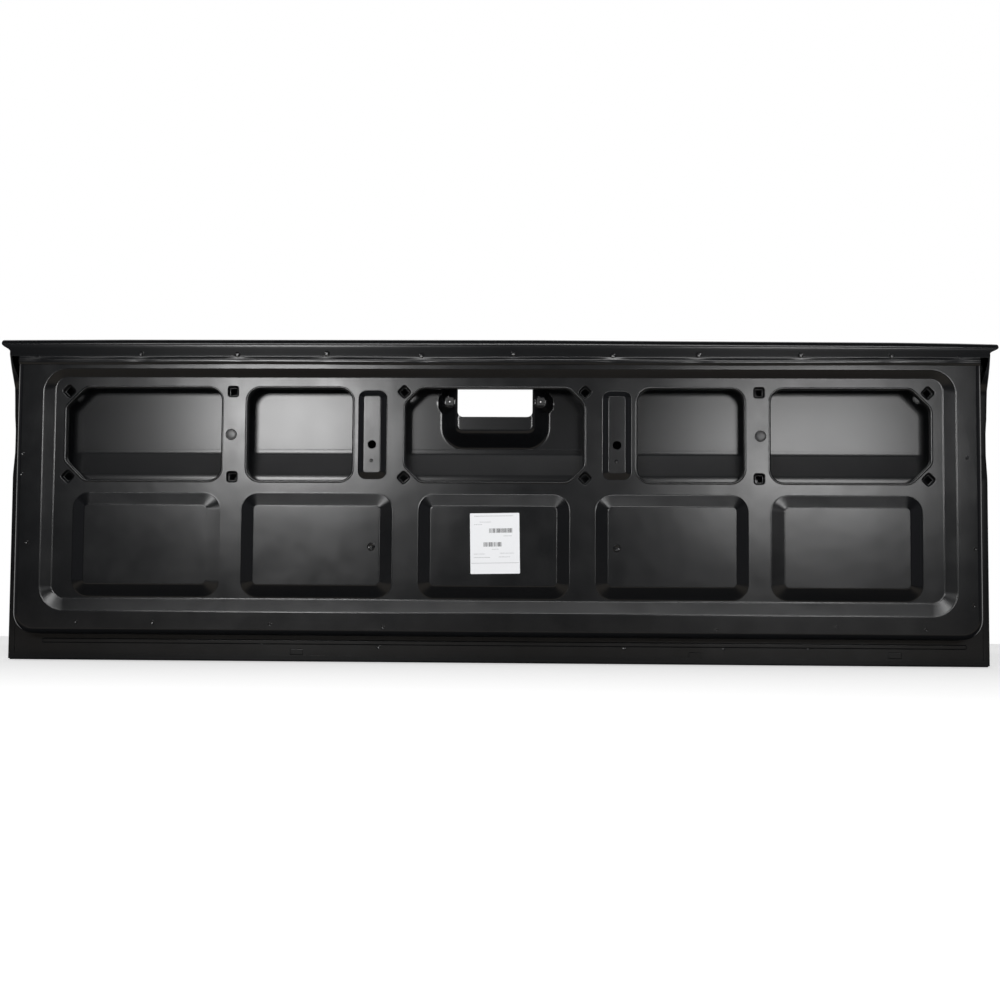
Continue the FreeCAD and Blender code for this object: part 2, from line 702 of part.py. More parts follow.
def handle_recess(body):
    # A dish drawn into the skin from outside, with a screw boss at each end and a window through its floor.
    depth = size("dishDepth")
    run = size("dishSlope")
    half = size("dishHalfWidth")
    low = size("dishBottom")
    high = size("dishTop")
    bend = size("dishBend")
    dish = face_sketch(body, "dish_outline", upper_depth)
    draw_rectangle(dish, -half, half, low, high, size("dishCorner"))
    pad(body, "dish", dish, depth, taper=-slope_angle(run, depth))
    round_edges(body, "dish_head_bend", bend, [Vector(0, (upper_depth - depth).value, (low + run).value)])

    boss_depth = size("bossDepth")
    boss_run = size("bossSlope")
    bosses = face_sketch(body, "boss_outlines", upper_depth)
    for side in (-1, 1):
        draw_circle(bosses, size("bossPlace") * side, size("bossHeight"), size("bossRadius"))
    pad(body, "bosses", bosses, boss_depth, taper=-slope_angle(boss_run, boss_depth))

    shift = wall_shift(gauge, depth, run)
    hollow = face_sketch(body, "hollow_outline", upper_depth + gauge)
    draw_rectangle(hollow, -half + shift, half - shift, low + shift, high - shift, size("dishCorner") - shift)
    pocket(body, "hollow", hollow, depth, taper=-slope_angle(run, depth), backwards=True)
    round_edges(body, "hollow_floor_bend", bend - gauge,
                [Vector(0, (upper_depth - depth + gauge).value, (low + shift + run).value)])
    boss_shift = wall_shift(gauge, boss_depth, boss_run)
    boss_hollows = face_sketch(body, "boss_hollow_outlines", upper_depth + gauge)
    for side in (-1, 1):
        draw_circle(boss_hollows, size("bossPlace") * side, size("bossHeight"), size("bossRadius") - boss_shift)
    pocket(body, "boss_hollows", boss_hollows, boss_depth, taper=-slope_angle(boss_run, boss_depth),
           backwards=True)

    cuts = face_sketch(body, "window_outline", upper_depth - depth - gauge)
    draw_rectangle(cuts, -size("windowHalfWidth"), size("windowHalfWidth"), size("windowBottom"),
                   size("windowTop"), size("windowCorner"))
    for side in (-1, 1):
        draw_circle(cuts, size("bossPlace") * side, size("bossHeight"), size("screwRadius"))
    pocket(body, "window_and_screw_holes", cuts, depth)


def outer_skin():
    body = new_body("outer_skin")
    profile = skin_profile(side_sketch(body, "skin_profile", 0))
    pad(body, "skin_sheet", profile, size("earHalfWidth") * 2, both_ways=True)
    trim_ends(body)
    side_hem(body, "right_hem", 1)
    side_hem(body, "left_hem", -1)
    handle_recess(body)
    return body


# Reinforcement plates and weld nuts inside the side walls

def corner_plate(name, side, bottom, top):
    # An angle plate behind the corner of the face and the side wall, clear of their bend.
    body = new_body(name)
    outer = (size("faceHalfWidth") - gauge) * side
    inner = (size("faceHalfWidth") - gauge - size("plateGauge")) * side
    foot = (size("faceHalfWidth") - gauge - size("plateFoot")) * side
    front = gauge
    back = gauge + size("plateGauge")
    bend = size("faceBend") - gauge
    section = plan_sketch(body, name + "_section", bottom)
    draw_outline(section, [(foot, front, None), (outer, front, bend), (outer, size("plateReach"), None),
                           (inner, size("plateReach"), None), (inner, back, bend - size("plateGauge")),
                           (foot, back, None)])
    pad(body, name + "_angle", section, top - bottom)
    holes = side_sketch(body, name + "_holes", (size("faceHalfWidth") - gauge - size("plateGauge") * 2) * side)
    return body, holes


def hinge_plate(name, side):
    body, holes = corner_plate(name, side, size("hingePlateBottom"), size("hingePlateTop"))
    middle = size("axisDepth")
    draw_circle(holes, middle, size("hingeHeight"), size("hingeRadius"))
    draw_circle(holes, middle, size("hingeBoltLow"), size("boltRadius"))
    draw_circle(holes, middle, size("hingeBoltHigh"), size("boltRadius"))
    pocket(body, name + "_pierced", holes, size("plateGauge") * 3, backwards=side > 0)
    return body


def cable_plate(name, side):
    half = size("cablePlateHalf")
    body, holes = corner_plate(name, side, size("cableHeight") - half, size("cableHeight") + half)
    draw_circle(holes, size("axisDepth"), size("cableHeight"), size("boltRadius"))
    pocket(body, name + "_pierced", holes, size("plateGauge") * 3, backwards=side > 0)
    return body


def latch_plate(name, side):
    half = size("latchPlateHalf")
    body, holes = corner_plate(name, side, size("latchHeight") - half, size("latchHeight") + half)
    middle = size("axisDepth")
    span = size("latchBoltSpan") / 2
    draw_circle(holes, middle, size("latchHeight") - span, size("boltRadius"))
    draw_circle(holes, middle, size("latchHeight") + span, size("boltRadius"))
    slot = size("latchSlotWidth") / 2
    draw_rectangle(holes, middle - slot, middle + slot, size("latchHeight") - size("latchSlotHalf"),
                   size("latchHeight") + size("latchSlotHalf"), size("latchSlotCorner"))
    pocket(body, name + "_pierced", holes, size("plateGauge") * 3, backwards=side > 0)
    return body


def side_nuts(name, side, heights):
    # Weld nuts on the inner face of a plate, one behind each bolt hole.
    body = new_body(name)
    rings = side_sketch(body, name + "_rings", (size("faceHalfWidth") - gauge - size("plateGauge")) * side)
    middle = size("axisDepth")
    half = size("nutHalf")
    for up in heights:
        draw_rectangle(rings, middle - half, middle + half, up - half, up + half)
        draw_circle(rings, middle, up, size("nutBore"))
    pad(body, name + "_bodies", rings, size("nutHeight"), backwards=side > 0)
    return body


def handle_nut(name, side):
    # A weld nut on the inner side of a screw boss.
    body = new_body(name)
    ring = face_sketch(body, name + "_ring", upper_depth - size("bossDepth"))
    middle = size("bossPlace") * side
    up = size("bossHeight")
    half = size("clipNutHalf")
    draw_rectangle(ring, middle - half, middle + half, up - half, up + half)
    draw_circle(ring, middle, up, size("clipNutBore"))
    pad(body, name + "_body", ring, size("clipNutHeight"))
    return body


def pillar_plug(name, side):
    # A low button that closes the round hole in a pillar.
    body = new_body(name)
    head = face_sketch(body, name + "_head_outline", size("fieldDepth"))
    draw_circle(head, size("plugPlace") * side, size("plugHeight"), size("plugRadius"))
    pad(body, name + "_head", head, size("plugHead"))
    stem = face_sketch(body, name + "_stem_outline", size("fieldDepth"))
    draw_circle(stem, size("plugPlace") * side, size("plugHeight"), size("plugStem") - gauge / 10)
    pad(body, name + "_stem", stem, size("plugLength"), backwards=True)
    return body


def both_sides(name, make, *settings):
    return [make(name + "_left", -1, *settings), make(name + "_right", 1, *settings)]


pieces = [outer_skin(), inner_panel()]
pieces += both_sides("hinge_reinforcement", hinge_plate)
pieces += both_sides("cable_reinforcement", cable_plate)
pieces += both_sides("latch_reinforcement", latch_plate)
pieces += both_sides("hinge_nuts", side_nuts, [size("hingeBoltLow"), size("hingeBoltHigh")])
pieces += both_sides("cable_nut", side_nuts, [size("cableHeight")])
latch_span = size("latchBoltSpan") / 2
pieces += both_sides("latch_nuts", side_nuts, [size("latchHeight") - latch_span, size("latchHeight") + latch_span])
pieces += both_sides("handle_nut", handle_nut)
pieces += both_sides("pillar_plug", pillar_plug)

# The origin moves to the left hinge seat, midway between its bolt holes on the outer face of the side wall.
seat_height = (size("hingeBoltLow") + size("hingeBoltHigh")) / 2
for piece in pieces:
    piece.Label = piece.Name
    place = (size("faceHalfWidth"), -size("axisDepth"), -seat_height)
    piece.Placement = Placement(Vector(*[amount.value for amount in place]), Rotation())
    for axis, amount in zip("xyz", place):
        piece.setExpression("Placement.Base." + axis, amount.text)
doc.recompute()

for thing in doc.Objects:
    if "Invalid" in thing.State or "Error" in thing.State:
        raise RuntimeError(thing.Name + " failed: " + ", ".join(thing.State))
for piece in pieces:
    if piece.Shape.isNull() or not piece.Shape.isValid():
        raise RuntimeError(piece.Label + " has no valid shape")

os.makedirs("parts", exist_ok=True)
for piece in pieces:
    piece.Shape.exportStep("parts/%s.step" % piece.Label)
    print("%-28s %d solid, %.0f mm3" % (piece.Label, len(piece.Shape.Solids), piece.Shape.Volume))
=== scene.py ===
import json
import math
import random
import bmesh
import bpy
from mathutils import Matrix, Vector, geometry


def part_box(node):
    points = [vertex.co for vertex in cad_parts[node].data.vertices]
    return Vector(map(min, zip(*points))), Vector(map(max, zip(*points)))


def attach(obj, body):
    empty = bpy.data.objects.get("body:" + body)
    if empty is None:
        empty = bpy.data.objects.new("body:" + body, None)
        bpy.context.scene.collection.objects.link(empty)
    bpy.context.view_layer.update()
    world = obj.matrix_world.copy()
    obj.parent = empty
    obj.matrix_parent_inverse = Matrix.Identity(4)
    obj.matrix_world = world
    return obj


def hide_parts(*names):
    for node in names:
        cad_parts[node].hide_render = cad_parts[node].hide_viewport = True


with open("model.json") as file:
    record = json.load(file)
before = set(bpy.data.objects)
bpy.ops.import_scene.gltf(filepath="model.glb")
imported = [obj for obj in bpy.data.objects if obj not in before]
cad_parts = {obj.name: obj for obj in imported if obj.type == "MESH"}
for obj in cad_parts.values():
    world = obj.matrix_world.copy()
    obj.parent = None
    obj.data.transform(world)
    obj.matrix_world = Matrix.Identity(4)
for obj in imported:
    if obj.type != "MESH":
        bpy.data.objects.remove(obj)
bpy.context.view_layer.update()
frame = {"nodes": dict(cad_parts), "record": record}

mm = 0.001

# Drawing places in millimetres: x from the centre line, y from the inner face back, z up from the bottom edge.
skinLow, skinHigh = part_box("outer_skin")
panelLow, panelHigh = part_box("inner_panel")
centreX = (skinLow.x + skinHigh.x) / 2
faceY = panelLow.y
bottomZ = skinLow.z


def at(x, y, z):
    return Vector((centreX + x * mm, faceY + y * mm, bottomZ + z * mm))


# Outlines, bends and sheets

def outline(corners):
    # Arcs of a rounded outline, from its corners (x, z, radius) taken anticlockwise.
    arcs = []
    for i, (x, z, radius) in enumerate(corners):
        here = Vector((x, z))
        inward = (here - Vector(corners[i - 1][:2])).normalized()
        onward = (Vector(corners[(i + 1) % len(corners)][:2]) - here).normalized()
        first = Vector((inward.y, -inward.x))
        second = Vector((onward.y, -onward.x))
        centre = here - (first + second) * (radius / (1 + first.dot(second)))
        start = math.atan2(first.y, first.x)
        end = math.atan2(second.y, second.x)
        arcs.append((centre, radius, start, end if end > start else end + 2 * math.pi))
    return arcs


def box(left, right, low, high, radius):
    return outline([(left, low, radius), (right, low, radius), (right, high, radius), (left, high, radius)])


def disc(x, z, radius):
    return box(x - radius, x + radius, z - radius, z + radius, radius)


def diamond(x, z, half, radius):
    reach = half * math.sqrt(2)
    return outline([(x, z - reach, radius), (x + reach, z, radius), (x, z + reach, radius), (x - reach, z, radius)])


def ring(arcs, grow, steps=9):
    # The outline's points when it is widened by grow; arcs that meet in one point share it.
    points = []
    for i, (centre, radius, start, end) in enumerate(arcs):
        following = arcs[(i + 1) % len(arcs)][0]
        last = steps if (following - centre).length < 1e-6 else steps + 1
        for k in range(last):
            angle = start + (end - start) * k / steps
            points.append(centre + max(radius + grow, 0.02) * Vector((math.cos(angle), math.sin(angle))))
    return points


def bent(corners, turnStep=11):
    # A cross-section through the sheet: corners (a, b, radius) with each radius drawn as a fine arc.
    points = []
    for i, (a, b, radius) in enumerate(corners):
        here = Vector((a, b))
        if radius == 0 or i in (0, len(corners) - 1):
            points.append(here)
            continue
        toward = (Vector(corners[i - 1][:2]) - here).normalized()
        onward = (Vector(corners[i + 1][:2]) - here).normalized()
        turn = math.pi - toward.angle(onward)
        centre = here + (toward + onward).normalized() * (radius / math.cos(turn / 2))
        spoke = here + toward * (radius * math.tan(turn / 2)) - centre
        side = 1 if toward.x * onward.y - toward.y * onward.x < 0 else -1
        count = max(2, math.ceil(math.degrees(turn) / turnStep))
        for k in range(count + 1):
            angle = side * turn * k / count
            points.append(centre + Vector((spoke.x * math.cos(angle) - spoke.y * math.sin(angle),
                                           spoke.x * math.sin(angle) + spoke.y * math.cos(angle))))
    return points


def divided(points, longest):
    out = [points[0]]
    for before, after in zip(points, points[1:]):
        count = max(1, math.ceil((after - before).length / longest))
        out += [before.lerp(after, k / count) for k in range(1, count + 1)]
    return out


def strip(mesh, rows, closed=False):
    # Quads between rows of places, each row with as many as the next.
    made = [[mesh.verts.new(place) for place in row] for row in rows]
    for lower, upper in zip(made, made[1:]):
        count = len(lower)
        for k in range(count if closed else count - 1):
            j = (k + 1) % count
            mesh.faces.new((lower[k], lower[j], upper[j], upper[k]))


def wall(mesh, arcs, section, steps=9):
    # A stamped wall round an outline; the section gives how far it is widened at each depth.
    strip(mesh, [[at(p.x, depth, p.y) for p in ring(arcs, grow, steps)] for grow, depth in section], closed=True)


def slopedWall(mesh, rim, foot, slope, section, steps):
    # A wall from one outline to another, for slopes that are wider on one side than on the next.
    rows = []
    for grow, depth in section:
        share = min(max(-grow / slope, 0), 1)
        extra = grow + share * slope
        rows.append([at(*(a.lerp(b, share).x, depth, a.lerp(b, share).y))
                     for a, b in zip(ring(rim, extra, steps), ring(foot, extra, steps))])
    strip(mesh, rows, closed=True)


def holds(loop, point):
    inside = False
    for before, after in zip(loop, loop[1:] + loop[:1]):
        if (before.y > point.y) != (after.y > point.y):
            if point.x < before.x + (after.x - before.x) * (point.y - before.y) / (after.y - before.y):
                inside = not inside
    return inside


def plate(mesh, outer, holes, spot, loose=()):
    # A region with holes, triangulated between its outlines; spot turns a flat place into a real one.
    points = []
    edges = []
    for loop in [outer] + holes:
        first = len(points)
        points += loop
        edges += [(first + k, first + (k + 1) % len(loop)) for k in range(len(loop))]
    points += loose
    places, _, faces, *_ = geometry.delaunay_2d_cdt(points, edges, [], 1, 1e-5)
    frames = [(min(p.x for p in h), max(p.x for p in h), min(p.y for p in h), max(p.y for p in h), h) for h in holes]
    made = [mesh.verts.new(spot(p.x, p.y)) for p in places]
    for face in faces:
        middle = sum((places[k] for k in face), Vector((0, 0))) / len(face)
        inHole = False
        for left, right, low, high, loop in frames:
            if left < middle.x < right and low < middle.y < high and holds(loop, middle):
                inHole = True
                break
        if not inHole:
            mesh.faces.new([made[k] for k in face])


def meshObject(name, mesh):
    data = bpy.data.meshes.new(name)
    mesh.to_mesh(data)
    mesh.free()
    made = bpy.data.objects.new(name, data)
    bpy.context.scene.collection.objects.link(made)
    return made


def baked(piece):
    # The piece with its modifiers turned into plain mesh.
    bpy.context.view_layer.update()
    data = bpy.data.meshes.new_from_object(piece.evaluated_get(bpy.context.evaluated_depsgraph_get()))
    piece.modifiers.clear()
    piece.data = data
    data.name = piece.name
    return piece


def asSheet(name, mesh, thickness, offset, frontSpot, sharpTurn=32):
    # Merges the parts of a surface, turns it to face the inner side, and gives it its gauge and clean shading.
    bmesh.ops.remove_doubles(mesh, verts=mesh.verts, dist=2e-5)
    bmesh.ops.dissolve_degenerate(mesh, edges=mesh.edges, dist=1e-6)
    bmesh.ops.recalc_face_normals(mesh, faces=mesh.faces)
    nearest = min(mesh.faces, key=lambda face: (face.calc_center_median() - frontSpot).length)
    if nearest.normal.y > 0:
        bmesh.ops.reverse_faces(mesh, faces=mesh.faces)
    piece = meshObject(name, mesh)
    solid = piece.modifiers.new("gauge", "SOLIDIFY")
    solid.thickness = thickness * mm
    solid.offset = offset
    baked(piece)
    edged = bmesh.new()
    edged.from_mesh(piece.data)
    for face in edged.faces:
        face.smooth = True
    for edge in edged.edges:
        edge.smooth = len(edge.link_faces) == 2 and edge.calc_face_angle(0) < math.radians(sharpTurn)
    edged.to_mesh(piece.data)
    edged.free()
    weigh = piece.modifiers.new("flats", "WEIGHTED_NORMAL")
    weigh.keep_sharp = True
    weigh.weight = 90
    return baked(piece)


# Materials: black electrocoat with a faint orange peel, paper, print, floor

def newMaterial(name):
    material = bpy.data.materials.new(name)
    material.use_nodes = True
    tree = material.node_tree
    return material, tree, tree.nodes["Principled BSDF"]


def objectNoise(tree, scale, detail=2.0):
    place = tree.nodes.new("ShaderNodeTexCoord")
    noise = tree.nodes.new("ShaderNodeTexNoise")
    noise.inputs["Scale"].default_value = scale
    noise.inputs["Detail"].default_value = detail
    tree.links.new(place.outputs["Object"], noise.inputs["Vector"])
    return noise


def spread(tree, source, low, high):
    fit = tree.nodes.new("ShaderNodeMapRange")
    fit.inputs["From Min"].default_value = 0.3
    fit.inputs["From Max"].default_value = 0.7
    fit.inputs["To Min"].default_value = low
    fit.inputs["To Max"].default_value = high
    tree.links.new(source, fit.inputs["Value"])
    return fit.outputs["Result"]


def tinted(tree, shader, factor, first, second):
    mix = tree.nodes.new("ShaderNodeMix")
    mix.data_type = "RGBA"
    mix.inputs["A"].default_value = (*first, 1)
    mix.inputs["B"].default_value = (*second, 1)
    tree.links.new(factor, mix.inputs["Factor"])
    tree.links.new(mix.outputs["Result"], shader.inputs["Base Color"])


def coatMaterial(name, coat):
    material, tree, shader = newMaterial(name)
    cloud = objectNoise(tree, coat["cloudScale"])
    tinted(tree, shader, cloud.outputs["Fac"], coat["dark"], coat["light"])
    dust = objectNoise(tree, coat["dustScale"], 4)
    tree.links.new(spread(tree, dust.outputs["Fac"], *coat["roughness"]), shader.inputs["Roughness"])
    shader.inputs["Specular IOR Level"].default_value = coat["specular"]
    wave = tree.nodes.new("ShaderNodeBump")
    wave.inputs["Distance"].default_value = coat["waveHeight"]
    tree.links.new(objectNoise(tree, coat["waveScale"]).outputs["Fac"], wave.inputs["Height"])
    peel = tree.nodes.new("ShaderNodeBump")
    peel.inputs["Distance"].default_value = coat["peelHeight"]
    tree.links.new(objectNoise(tree, coat["peelScale"]).outputs["Fac"], peel.inputs["Height"])
    tree.links.new(wave.outputs["Normal"], peel.inputs["Normal"])
    tree.links.new(peel.outputs["Normal"], shader.inputs["Normal"])
    return material


panelCoat = {"dark": (0.004, 0.0043, 0.005), "light": (0.0055, 0.0059, 0.0067), "cloudScale": 9, "dustScale": 24,
             "roughness": (0.2, 0.24), "specular": 0.5, "peelScale": 420, "peelHeight": 0.000006,
             "waveScale": 11, "waveHeight": 0.0005}
skinCoat = dict(panelCoat, roughness=(0.212, 0.222), waveHeight=0.00001, peelHeight=0.000002)
plateCoat = dict(panelCoat, roughness=(0.34, 0.42), peelHeight=0.00002)
plugFinish = dict(panelCoat, dark=(0.006, 0.006, 0.007), light=(0.008, 0.008, 0.009), waveHeight=0.00002,
                  roughness=(0.27, 0.3))
coatMaterials = {
    "panel_coat": coatMaterial("panelCoat", panelCoat),
    "skin_coat": coatMaterial("skinCoat", skinCoat),
    "plate_coat": coatMaterial("plateCoat", plateCoat),
    "nut_coat": coatMaterial("nutCoat", dict(plateCoat, peelScale=900)),
    "plug_plastic": coatMaterial("plugPlastic", plugFinish),
}


def paperMaterial():
    material, tree, shader = newMaterial("labelPaper")
    fibre = objectNoise(tree, 1400, 3)
    tinted(tree, shader, fibre.outputs["Fac"], (0.8, 0.81, 0.83), (0.88, 0.885, 0.9))
    shader.inputs["Roughness"].default_value = 0.6
    bump = tree.nodes.new("ShaderNodeBump")
    bump.inputs["Strength"].default_value = 0.15
    bump.inputs["Distance"].default_value = 0.0001
    tree.links.new(fibre.outputs["Fac"], bump.inputs["Height"])
    tree.links.new(bump.outputs["Normal"], shader.inputs["Normal"])
    return material


def printMaterial(name, dark, light):
    material, tree, shader = newMaterial(name)
    speckle = objectNoise(tree, 2600)
    tinted(tree, shader, speckle.outputs["Fac"], dark, light)
    shader.inputs["Roughness"].default_value = 0.55
    return material


def dress(piece, material, slot=None, nodes=()):
    piece.data.materials.clear()
    piece.data.materials.append(material)
    if slot:
        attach(piece, "root")
    if nodes:
        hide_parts(*nodes)
    return piece


# Inner panel: one stamping

panel = {
    "halfWidth": 775, "bottom": 44, "corner": 33, "bend": 9, "top": 506, "flangeHalf": 792, "flangeLow": 3,
    "fieldRim": (-731.5, 734.5, 81, 472.5, 40), "fieldFoot": (-715.5, 716.5, 101, 460.5, 20), "fieldDepth": 10,
    "fieldSlope": 20, "fieldBend": 5, "padLow": 104, "padHigh": 272, "padCorner": 27, "padRise": 9, "padSlope": 20, "padBend": 5,
    "pads": [(-682, -443), (-407, -163), (-121.5, 121.5), (163, 407), (443, 682)],
    "ribs": [(-220, -174), (174, 220)], "ribLow": 296, "ribHigh": 439, "ribCorner": 13, "ribRise": 6, "ribSlope": 9.5,
    "ribBend": 2.5, "ribHole": 7, "ribHoleZ": 351,
    "openLow": 293, "openHigh": 442, "openCorner": 21, "cutBend": 16, "openDepth": 21, "openReach": 4.6,
    "openRim": [(4.6, 10, 0), (3.9, 10, 1.2), (2.2, 9.2, 2.4), (0, 10.6, 2), (0, 21, 0)],
    "openings": [(-696, -443, 31, 0), (-400, -230, 0, 0), (-144, 144, 25, 25), (230, 400, 0, 0), (443, 696, 0, 31)],
    "pocketHalf": 8.5, "pocketCorner": 4.2, "pocketDepth": 7, "pocketRun": 2, "pocketReach": 1.8, "pocketRows": (298, 437),
    "endPocket": 693, "pillarPocket": 424.5, "centrePocket": 146, "plugX": 426.5, "plugZ": 367, "plugHole": 7.5,
}
step = {"low": 49, "high": 57, "foot": 302, "head": 341, "bend": 30, "footBend": 45}
stepLine = bent([(step["low"], -50, 0), (step["low"], step["foot"], step["footBend"]),
                 (step["high"], step["head"], step["bend"]), (step["high"], 560, 0)], 2)


def skinDepth(z):
    # How deep the skin's inner surface lies at a height.
    for before, after in zip(stepLine, stepLine[1:]):
        if before.y <= z <= after.y:
            return before.x + (after.x - before.x) * (z - before.y) / (after.y - before.y)
    return step["low"] if z < 0 else step["high"]


def openingOutline(left, right, cutLeft, cutRight):
    low, high = panel["openLow"], panel["openHigh"]
    plain, eased = panel["openCorner"], panel["cutBend"]
    corners = [(left, low + cutLeft, eased), (left + cutLeft, low, eased)] if cutLeft else [(left, low, plain)]
    if cutRight:
        corners += [(right - cutRight, low, eased), (right, low + cutRight, eased)]
        corners += [(right, high - cutRight, eased), (right - cutRight, high, eased)]
    else:
        corners += [(right, low, plain), (right, high, plain)]
    corners += [(left + cutLeft, high, eased), (left, high - cutLeft, eased)] if cutLeft else [(left, high, plain)]
    return outline(corners)


def edgePath(grow, heights):
    # The face's edge from its top left corner down, along the bottom and up the right side.
    middle = panel["halfWidth"] - panel["corner"]
    centreZ = panel["bottom"] + panel["corner"]
    radius = panel["corner"] + grow
    turn = [math.pi + math.pi / 2 * k / 10 for k in range(1, 11)]
    left = [Vector((-panel["halfWidth"] - grow, z)) for z in heights]
    left += [Vector((-middle + radius * math.cos(a), centreZ + radius * math.sin(a))) for a in turn]
    return left + [Vector((-p.x, p.y)) for p in reversed(left)]


def flangeEdge(path, count):
    # Where the flange ends: straight out to the sides, and out to the corner and the bottom below.
    out = []
    middle = panel["halfWidth"] - panel["corner"]
    centreZ = panel["bottom"] + panel["corner"]
    for k, place in enumerate(path):
        side = -1 if place.x < 0 else 1
        if k < count or k >= len(path) - count:
            out.append(Vector((side * panel["flangeHalf"], place.y)))
        else:
            spoke = (place - Vector((side * middle, centreZ))).normalized()
            toSide = (panel["flangeHalf"] - middle) / max(abs(spoke.x), 1e-6)
            toLow = (centreZ - panel["flangeLow"]) / max(-spoke.y, 1e-6)
            out.append(Vector((side * middle, centreZ)) + spoke * min(toSide, toLow))
    return out


sideHoles = {"depth": 27, "hinge": (102, 16), "bolts": ((137, 4.25), (169, 4.25), (262, 4.25), (391, 4.25), (449, 4.25)),
             "latch": (420, 11, 17, 6)}


def innerPanel():
    mesh = bmesh.new()
    floorDepth = panel["fieldDepth"]
    ease = 1.6
    rim = box(*panel["fieldRim"])
    foot = box(*panel["fieldFoot"])
    slope = panel["fieldSlope"]
    slopedWall(mesh, rim, foot, slope, bent([(ease, 0, 0), (0, 0, panel["fieldBend"]),
                                             (-slope, floorDepth, panel["fieldBend"]),
                                             (-slope - ease, floorDepth, 0)]), 14)
    holes = []
    padTop = floorDepth - panel["padRise"]
    for left, right in panel["pads"]:
        pad = box(left, right, panel["padLow"], panel["padHigh"], panel["padCorner"])
        run = panel["padSlope"]
        wall(mesh, pad, bent([(ease, floorDepth, 0), (0, floorDepth, panel["padBend"]),
                              (-run, padTop, panel["padBend"]), (-run - ease, padTop, 0)]), 10)
        holes.append(ring(pad, ease, 10))
        plate(mesh, ring(pad, -run - ease, 10), [], lambda x, z: at(x, padTop, z))
    ribTop = floorDepth - panel["ribRise"]
    for left, right in panel["ribs"]:
        rib = box(left, right, panel["ribLow"], panel["ribHigh"], panel["ribCorner"])
        run = panel["ribSlope"]
        wall(mesh, rib, bent([(ease, floorDepth, 0), (0, floorDepth, panel["ribBend"]),
                              (-run, ribTop, panel["ribBend"]), (-run - ease, ribTop, 0)]), 8)
        holes.append(ring(rib, ease, 8))
        hole = disc((left + right) / 2, panel["ribHoleZ"], panel["ribHole"])
        plate(mesh, ring(rib, -run - ease, 8), [ring(hole, 0, 8)], lambda x, z: at(x, ribTop, z))
    for left, right, cutLeft, cutRight in panel["openings"]:
        opening = openingOutline(left, right, cutLeft, cutRight)
        wall(mesh, opening, bent(panel["openRim"]), 8)
        holes.append(ring(opening, panel["openReach"], 8))
    pocketFloor = floorDepth + panel["pocketDepth"]
    for z in panel["pocketRows"]:
        for side in (-1, 1):
            for x, make in ((panel["endPocket"], diamond), (panel["centrePocket"], diamond), (panel["pillarPocket"], None)):
                half, corner = panel["pocketHalf"], panel["pocketCorner"]
                if make:
                    pocket = diamond(x * side, z, half, corner)
                else:
                    pocket = box(x * side - half, x * side + half, z - half, z + half, corner)
                wall(mesh, pocket, bent([(panel["pocketReach"], floorDepth, 0), (0, floorDepth, 1.6), (-panel["pocketRun"], pocketFloor, 1),
                                         (-panel["pocketRun"] - 0.9, pocketFloor, 0)]), 5)
                holes.append(ring(pocket, panel["pocketReach"], 5))
    for side in (-1, 1):
        holes.append(ring(disc(panel["plugX"] * side, panel["plugZ"], panel["plugHole"]), 0, 6))
    plate(mesh, ring(foot, -ease, 14), holes, lambda x, z: at(x, floorDepth, z))

    # The face round the field, its bend, the walls and the flange.
    heights = [506, 480, 440, 400, 360, 350, 346, 343, 340, 337, 333, 329, 325, 321, 317, 313, 310, 307, 304, 298, 250,
               200, 150, 110, 77]
    bend = panel["bend"]
    turns = [math.pi / 2 * k / 8 for k in range(9)]
    plate(mesh, edgePath(-bend, heights), [ring(rim, ease, 14)], lambda x, z: at(x, 0, z))
    strip(mesh, [[at(p.x, bend - bend * math.cos(t), p.y) for p in edgePath(-bend + bend * math.sin(t), heights)]
                 for t in turns])
    count = len(heights)
    base = edgePath(0, heights)
    footBend = 2.5

    def flangeDepth(z):
        return skinDepth(z) - 1.5

    low = base[count - 1:len(base) - count + 1]
    strip(mesh, [[at(p.x, bend, p.y) for p in low], [at(p.x, flangeDepth(p.y) - footBend, p.y) for p in low]])
    for side in (-1, 1):
        loop = [Vector((bend, z)) for z in heights]
        loop += [Vector((flangeDepth(z) - footBend, z)) for z in reversed(heights)]
        depth = sideHoles["depth"]
        cuts = [disc(depth, z, radius) for z, radius in (sideHoles["hinge"],) + sideHoles["bolts"]]
        z, halfWide, halfTall, corner = sideHoles["latch"]
        cuts.append(box(depth - halfWide, depth + halfWide, z - halfTall, z + halfTall, corner))
        plate(mesh, loop, [ring(cut, 0, 7) for cut in cuts], lambda u, v: at(panel["halfWidth"] * side, u, v))
    rows = []
    for t in turns:
        grow = footBend - footBend * math.cos(t)
        drop = footBend - footBend * math.sin(t)
        rows.append([at(p.x, flangeDepth(q.y) - drop, p.y) for p, q in zip(edgePath(grow, heights), base)])
    outer = flangeEdge(edgePath(footBend, heights), count)
    rows.append([at(p.x, flangeDepth(q.y), p.y) for p, q in zip(outer, base)])
    strip(mesh, rows)
    return asSheet("innerPanel", mesh, 1.5, -1, at(0, 0, 60))


# Places of the spot welds

welds = {
    "radius": 5, "height": 0.75,
    "lap": [(-743, 489), (-573, 497), (-416, 496), (-271, 498), (-118, 495), (30, 499), (190, 496), (327, 497),
            (489, 497), (633, 496), (741, 492)],
    "face": [(-763, 333), (-764, 300), (-753, 190), (751, 333), (762, 188), (759, 98), (-670, 63), (-546, 63),
             (-357, 61), (-176, 58), (355, 57), (544, 63), (684, 60)],
    "flange": [(-535, 31), (-378, 30), (-188, 26), (211, 27), (371, 28), (506, 29), (669, 31)],
}


# Outer skin: one sheet from the rolled edge of the lap, over the top and down to the hem

